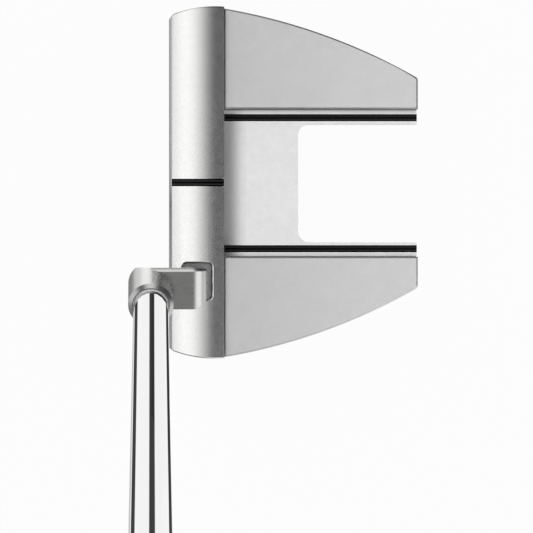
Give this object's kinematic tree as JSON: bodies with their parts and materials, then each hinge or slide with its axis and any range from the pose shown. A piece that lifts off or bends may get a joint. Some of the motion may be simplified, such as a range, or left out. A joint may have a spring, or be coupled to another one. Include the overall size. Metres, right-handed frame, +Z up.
{
  "type": "mallet putter",
  "caption": "Right-handed winged mallet golf putter with plumber's neck, alignment lines, tapered shaft and pistol grip.",
  "frame": {"origin": "on the sole plane, on the head's centre line, 17.7 mm behind the top edge of the striking face, midway to the rear cut-out", "axes": "+X from the striking face to the back, +Y from heel to toe, +Z up from the ground"},
  "size_m": [0.0871, 0.3702, 0.8148],
  "materials": {
    "face_steel": "satin, milled face",
    "neck_steel": "satin",
    "wing_aluminium": "bead blasted, matte",
    "flange_aluminium": "fine satin",
    "line_enamel": "black enamel fill",
    "shaft_chrome": "mirror chrome plate",
    "screw_steel": "machined",
    "weight_steel": "turned",
    "washer_nylon": "moulded",
    "grip_tape": "paper tape",
    "grip_rubber": "moulded rubber",
    "grip_wrap": "textured polyurethane"
  },
  "bodies": {
    "head": {"face_block": "face_steel", "sole_flange": "flange_aluminium", "toe_wing": "wing_aluminium", "heel_wing": "wing_aluminium", "neck": "neck_steel", "neck_screw": "screw_steel", "neck_dowel": "screw_steel", "block_screws": "screw_steel", "toe_wing_screws": "screw_steel", "heel_wing_screws": "screw_steel", "toe_wing_dowels": "screw_steel", "heel_wing_dowels": "screw_steel", "centre_line": "line_enamel", "toe_line": "line_enamel", "heel_line": "line_enamel", "shaft": "shaft_chrome", "grip_tape": "grip_tape", "grip_underlisting": "grip_rubber", "grip_cover": "grip_wrap", "grip_butt_cap": "grip_rubber"},
    "toe_washer": {"toe_weight_washer": "washer_nylon"},
    "heel_washer": {"heel_weight_washer": "washer_nylon"},
    "toe_weight": {"toe_weight": "weight_steel"},
    "heel_weight": {"heel_weight": "weight_steel"}
  },
  "joints": [
    {"name": "toe_weight_travel", "type": "slide", "parent": "head", "child": "toe_washer", "axis": [0, 0, -1], "range_m": [0, 0.007]},
    {"name": "toe_weight_turn", "type": "hinge", "parent": "toe_washer", "child": "toe_weight", "pos_m": [0.0223, 0.0311, 0], "axis": [0, 0, -1], "range_deg": [0, 2520]},
    {"name": "heel_weight_travel", "type": "slide", "parent": "head", "child": "heel_washer", "axis": [0, 0, -1], "range_m": [0, 0.007]},
    {"name": "heel_weight_turn", "type": "hinge", "parent": "heel_washer", "child": "heel_weight", "pos_m": [0.0223, -0.0311, 0], "axis": [0, 0, -1], "range_deg": [0, 2520]}
  ],
  "couplings": [
    {"joint": "toe_weight_turn", "follows": "toe_weight_travel", "rad_per_m": 6283.2},
    {"joint": "heel_weight_turn", "follows": "heel_weight_travel", "rad_per_m": 6283.2}
  ]
}
